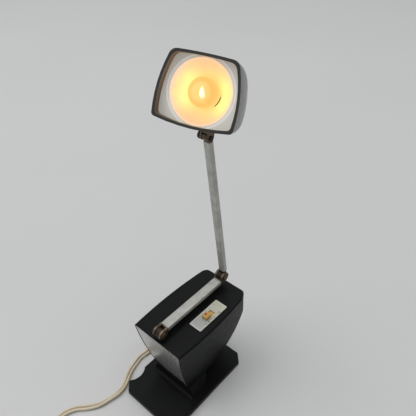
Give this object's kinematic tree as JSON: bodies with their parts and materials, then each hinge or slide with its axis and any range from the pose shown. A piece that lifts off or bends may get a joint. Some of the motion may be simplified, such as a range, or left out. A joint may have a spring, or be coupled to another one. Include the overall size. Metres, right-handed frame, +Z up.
{
  "type": "folding desk lamp",
  "caption": "Small desk lamp: weighted base, bulged transformer housing with slide switch, folding square bars on fork hinges, and a tapered head with round reflector that tilts and swivels.",
  "frame": {"origin": "middle of the base's underside, on the table", "axes": "+Z up, -Y towards the front plate, +X to the right seen from the front"},
  "size_m": [0.1133, 0.2706, 0.3287],
  "materials": {
    "black_plastic": "satin moulded black",
    "neck_plastic": "dull black",
    "head_plastic": "glossy black",
    "plate_metal": "polished, slightly dulled",
    "tube_metal": "satin plated",
    "hinge_metal": "tarnished plating with rust",
    "lug_metal": "dark tarnished",
    "screw_steel": "plain",
    "ballast_iron": "raw",
    "pad_rubber": "matt",
    "core_steel": "varnished laminations",
    "winding": "varnished wire and paper",
    "switch_black": "matt",
    "switch_metal": "satin",
    "knob_amber": "worn amber",
    "reflector_metal": "satin spun",
    "bulb_glass": "clear",
    "cap_brass": "plain",
    "filament_wire": "bare",
    "socket_metal": "plain",
    "cord_ivory": "ivory, slightly shiny",
    "tie_black": "matt",
    "plug_ivory": "ivory",
    "blade_brass": "plain"
  },
  "bodies": {
    "root": {"base_plate": "black_plastic", "ballast": "ballast_iron", "foot_pad": "pad_rubber", "neck": "neck_plastic", "neck_screws": "screw_steel", "body_shell": "black_plastic", "front_plate": "plate_metal", "transformer_core": "core_steel", "transformer_coil": "winding", "transformer_bracket": "screw_steel", "bracket_screws": "screw_steel", "switch_body": "switch_black", "switch_plate": "switch_metal", "pivot_post": "lug_metal", "strain_relief": "cord_ivory", "power_cord": "cord_ivory", "cord_coil": "cord_ivory", "cord_tie": "tie_black", "plug_body": "plug_ivory", "plug_blades": "blade_brass"},
    "switch": {"switch_knob": "knob_amber"},
    "lower_arm": {"front_clevis": "hinge_metal", "front_screw": "hinge_metal", "lower_tube": "tube_metal", "elbow_clevis": "hinge_metal", "elbow_screw": "hinge_metal"},
    "upper_arm": {"elbow_tongue": "lug_metal", "upper_tube": "tube_metal", "tip_tongue": "hinge_metal"},
    "lug": {"head_lug": "hinge_metal", "tip_screw": "lug_metal", "stud_nut": "screw_steel"},
    "head": {"head_shell": "head_plastic", "reflector": "reflector_metal", "bulb_glass": "bulb_glass", "bulb_cap": "cap_brass", "filament": "filament_wire", "bulb_socket": "socket_metal", "socket_bracket": "screw_steel"}
  },
  "joints": [
    {"name": "switch_slide", "type": "slide", "parent": "root", "child": "switch", "axis": [0, 1, 0], "range_m": [0, 0.0055]},
    {"name": "lower_arm_hinge", "type": "hinge", "parent": "root", "child": "lower_arm", "pos_m": [0, -0.0248, 0.093], "axis": [1, 0, 0], "range_deg": [0, 45]},
    {"name": "elbow_hinge", "type": "hinge", "parent": "lower_arm", "child": "upper_arm", "pos_m": [0, 0.0592, 0.099], "axis": [1, 0, 0], "range_deg": [-90, 60]},
    {"name": "head_tilt", "type": "hinge", "parent": "upper_arm", "child": "lug", "pos_m": [0, 0.04321, 0.2592], "axis": [1, 0, 0], "range_deg": [-70, 110]},
    {"name": "head_swivel", "type": "hinge", "parent": "lug", "child": "head", "pos_m": [0, 0.04321, 0.2592], "axis": [0, 0.2538, 0.9673], "range_deg": [-110.4, 69.6]}
  ]
}
